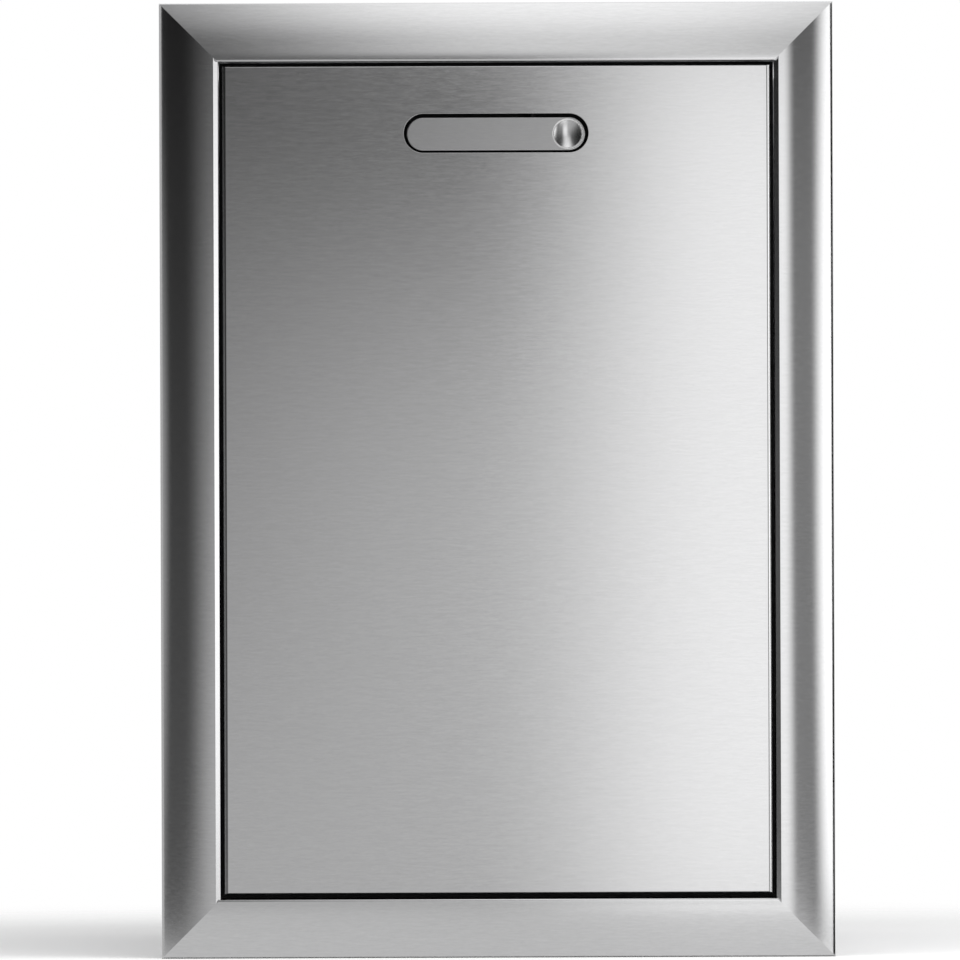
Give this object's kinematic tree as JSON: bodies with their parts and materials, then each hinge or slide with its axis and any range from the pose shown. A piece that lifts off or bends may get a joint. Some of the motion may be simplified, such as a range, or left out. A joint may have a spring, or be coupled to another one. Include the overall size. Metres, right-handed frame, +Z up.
{
  "type": "pull-out trash drawer",
  "caption": "Built-in stainless pull-out trash drawer with a convex mitred face frame, flush swing pull, full-extension ball slides and lift-out bins.",
  "frame": {"origin": "middle of the cut-out's sill, where the wall plane meets the underside of the cabinet floor", "axes": "+X right seen from the front, +Y into the island, +Z up; the front faces -Y"},
  "size_m": [0.508, 0.641, 0.72],
  "materials": {
    "brushed_stainless": "fine directional brushing, satin",
    "stainless_sheet": "plain mill finish, softly satin",
    "zinc_slide": "bright zinc plating, satin",
    "bright_steel": "polished",
    "black_rubber": "matte",
    "lever_plastic": "matte moulded",
    "bin_plastic": "fine moulded texture",
    "cup_black": "black coating, satin"
  },
  "bodies": {
    "cabinet": {"trim_top_rail": "brushed_stainless", "trim_bottom_rail": "brushed_stainless", "trim_left_stile": "brushed_stainless", "trim_right_stile": "brushed_stainless", "cabinet_left_wall": "stainless_sheet", "cabinet_right_wall": "stainless_sheet", "cabinet_floor": "stainless_sheet", "cabinet_back": "stainless_sheet", "cabinet_top_strip": "stainless_sheet", "cabinet_rivets": "bright_steel", "left_slide_outer": "zinc_slide", "right_slide_outer": "zinc_slide", "slide_outer_screws": "bright_steel", "rear_buffers": "black_rubber"},
    "drawer": {"front_panel": "brushed_stainless", "front_liner": "stainless_sheet", "front_seal": "black_rubber", "front_screws": "bright_steel", "handle_cup": "cup_black", "cup_studs": "bright_steel", "pivot_pin": "cup_black", "pivot_clip": "cup_black", "handle_spring": "bright_steel", "handle_stop_pad": "black_rubber", "carriage_left_side": "stainless_sheet", "carriage_right_side": "stainless_sheet", "carriage_tray": "stainless_sheet", "carriage_rear": "stainless_sheet", "bin_rail_front": "stainless_sheet", "bin_rail_middle": "stainless_sheet", "bin_rail_rear": "stainless_sheet", "bin_rail_left": "stainless_sheet", "bin_rail_right": "stainless_sheet", "carriage_rivets": "bright_steel", "left_slide_inner": "zinc_slide", "right_slide_inner": "zinc_slide", "slide_inner_screws": "bright_steel"},
    "handle": {"pull_handle": "brushed_stainless"},
    "front_bin": {"front_bin": "bin_plastic"},
    "rear_bin": {"rear_bin": "bin_plastic"},
    "left_middle_slide": {"left_slide_middle": "zinc_slide"},
    "left_outer_bearing": {"left_outer_cage": "zinc_slide", "left_outer_balls": "bright_steel"},
    "left_inner_bearing": {"left_inner_cage": "zinc_slide", "left_inner_balls": "bright_steel"},
    "left_lever": {"left_release_lever": "lever_plastic"},
    "right_middle_slide": {"right_slide_middle": "zinc_slide"},
    "right_outer_bearing": {"right_outer_cage": "zinc_slide", "right_outer_balls": "bright_steel"},
    "right_inner_bearing": {"right_inner_cage": "zinc_slide", "right_inner_balls": "bright_steel"},
    "right_lever": {"right_release_lever": "lever_plastic"}
  },
  "joints": [
    {"name": "drawer_slide", "type": "slide", "parent": "cabinet", "child": "drawer", "axis": [0, -1, 0], "range_m": [0, 0.552]},
    {"name": "left_middle_slide_run", "type": "slide", "parent": "cabinet", "child": "left_middle_slide", "axis": [0, -1, 0], "range_m": [0, 0.276]},
    {"name": "left_outer_bearing_run", "type": "slide", "parent": "cabinet", "child": "left_outer_bearing", "axis": [0, -1, 0], "range_m": [0, 0.138]},
    {"name": "left_inner_bearing_run", "type": "slide", "parent": "left_middle_slide", "child": "left_inner_bearing", "axis": [0, -1, 0], "range_m": [0, 0.138]},
    {"name": "right_middle_slide_run", "type": "slide", "parent": "cabinet", "child": "right_middle_slide", "axis": [0, -1, 0], "range_m": [0, 0.276]},
    {"name": "right_outer_bearing_run", "type": "slide", "parent": "cabinet", "child": "right_outer_bearing", "axis": [0, -1, 0], "range_m": [0, 0.138]},
    {"name": "right_inner_bearing_run", "type": "slide", "parent": "right_middle_slide", "child": "right_inner_bearing", "axis": [0, -1, 0], "range_m": [0, 0.138]},
    {"name": "handle_pivot", "type": "hinge", "parent": "drawer", "child": "handle", "pos_m": [0.02725, -0.006, 0.57845], "axis": [0, 0, 1], "range_deg": [0, 35], "stiffness_Nm_per_rad": 0.35, "springref_deg": -8.59, "deforming": ["handle_spring"]},
    {"name": "front_bin_lift", "type": "slide", "parent": "drawer", "child": "front_bin", "axis": [0, 0, 1], "range_m": [0, 0.25]},
    {"name": "rear_bin_lift", "type": "slide", "parent": "drawer", "child": "rear_bin", "axis": [0, 0, 1], "range_m": [0, 0.25]},
    {"name": "left_lever_rock", "type": "hinge", "parent": "drawer", "child": "left_lever", "pos_m": [-0.1992, 0.124, 0.13], "axis": [1, 0, 0], "range_deg": [-4, 4], "stiffness_Nm_per_rad": 0.5},
    {"name": "right_lever_rock", "type": "hinge", "parent": "drawer", "child": "right_lever", "pos_m": [0.1992, 0.124, 0.13], "axis": [1, 0, 0], "range_deg": [-4, 4], "stiffness_Nm_per_rad": 0.5}
  ],
  "couplings": [
    {"joint": "left_middle_slide_run", "follows": "drawer_slide", "ratio": 0.5},
    {"joint": "left_outer_bearing_run", "follows": "drawer_slide", "ratio": 0.25},
    {"joint": "left_inner_bearing_run", "follows": "drawer_slide", "ratio": 0.25},
    {"joint": "right_middle_slide_run", "follows": "drawer_slide", "ratio": 0.5},
    {"joint": "right_outer_bearing_run", "follows": "drawer_slide", "ratio": 0.25},
    {"joint": "right_inner_bearing_run", "follows": "drawer_slide", "ratio": 0.25}
  ]
}
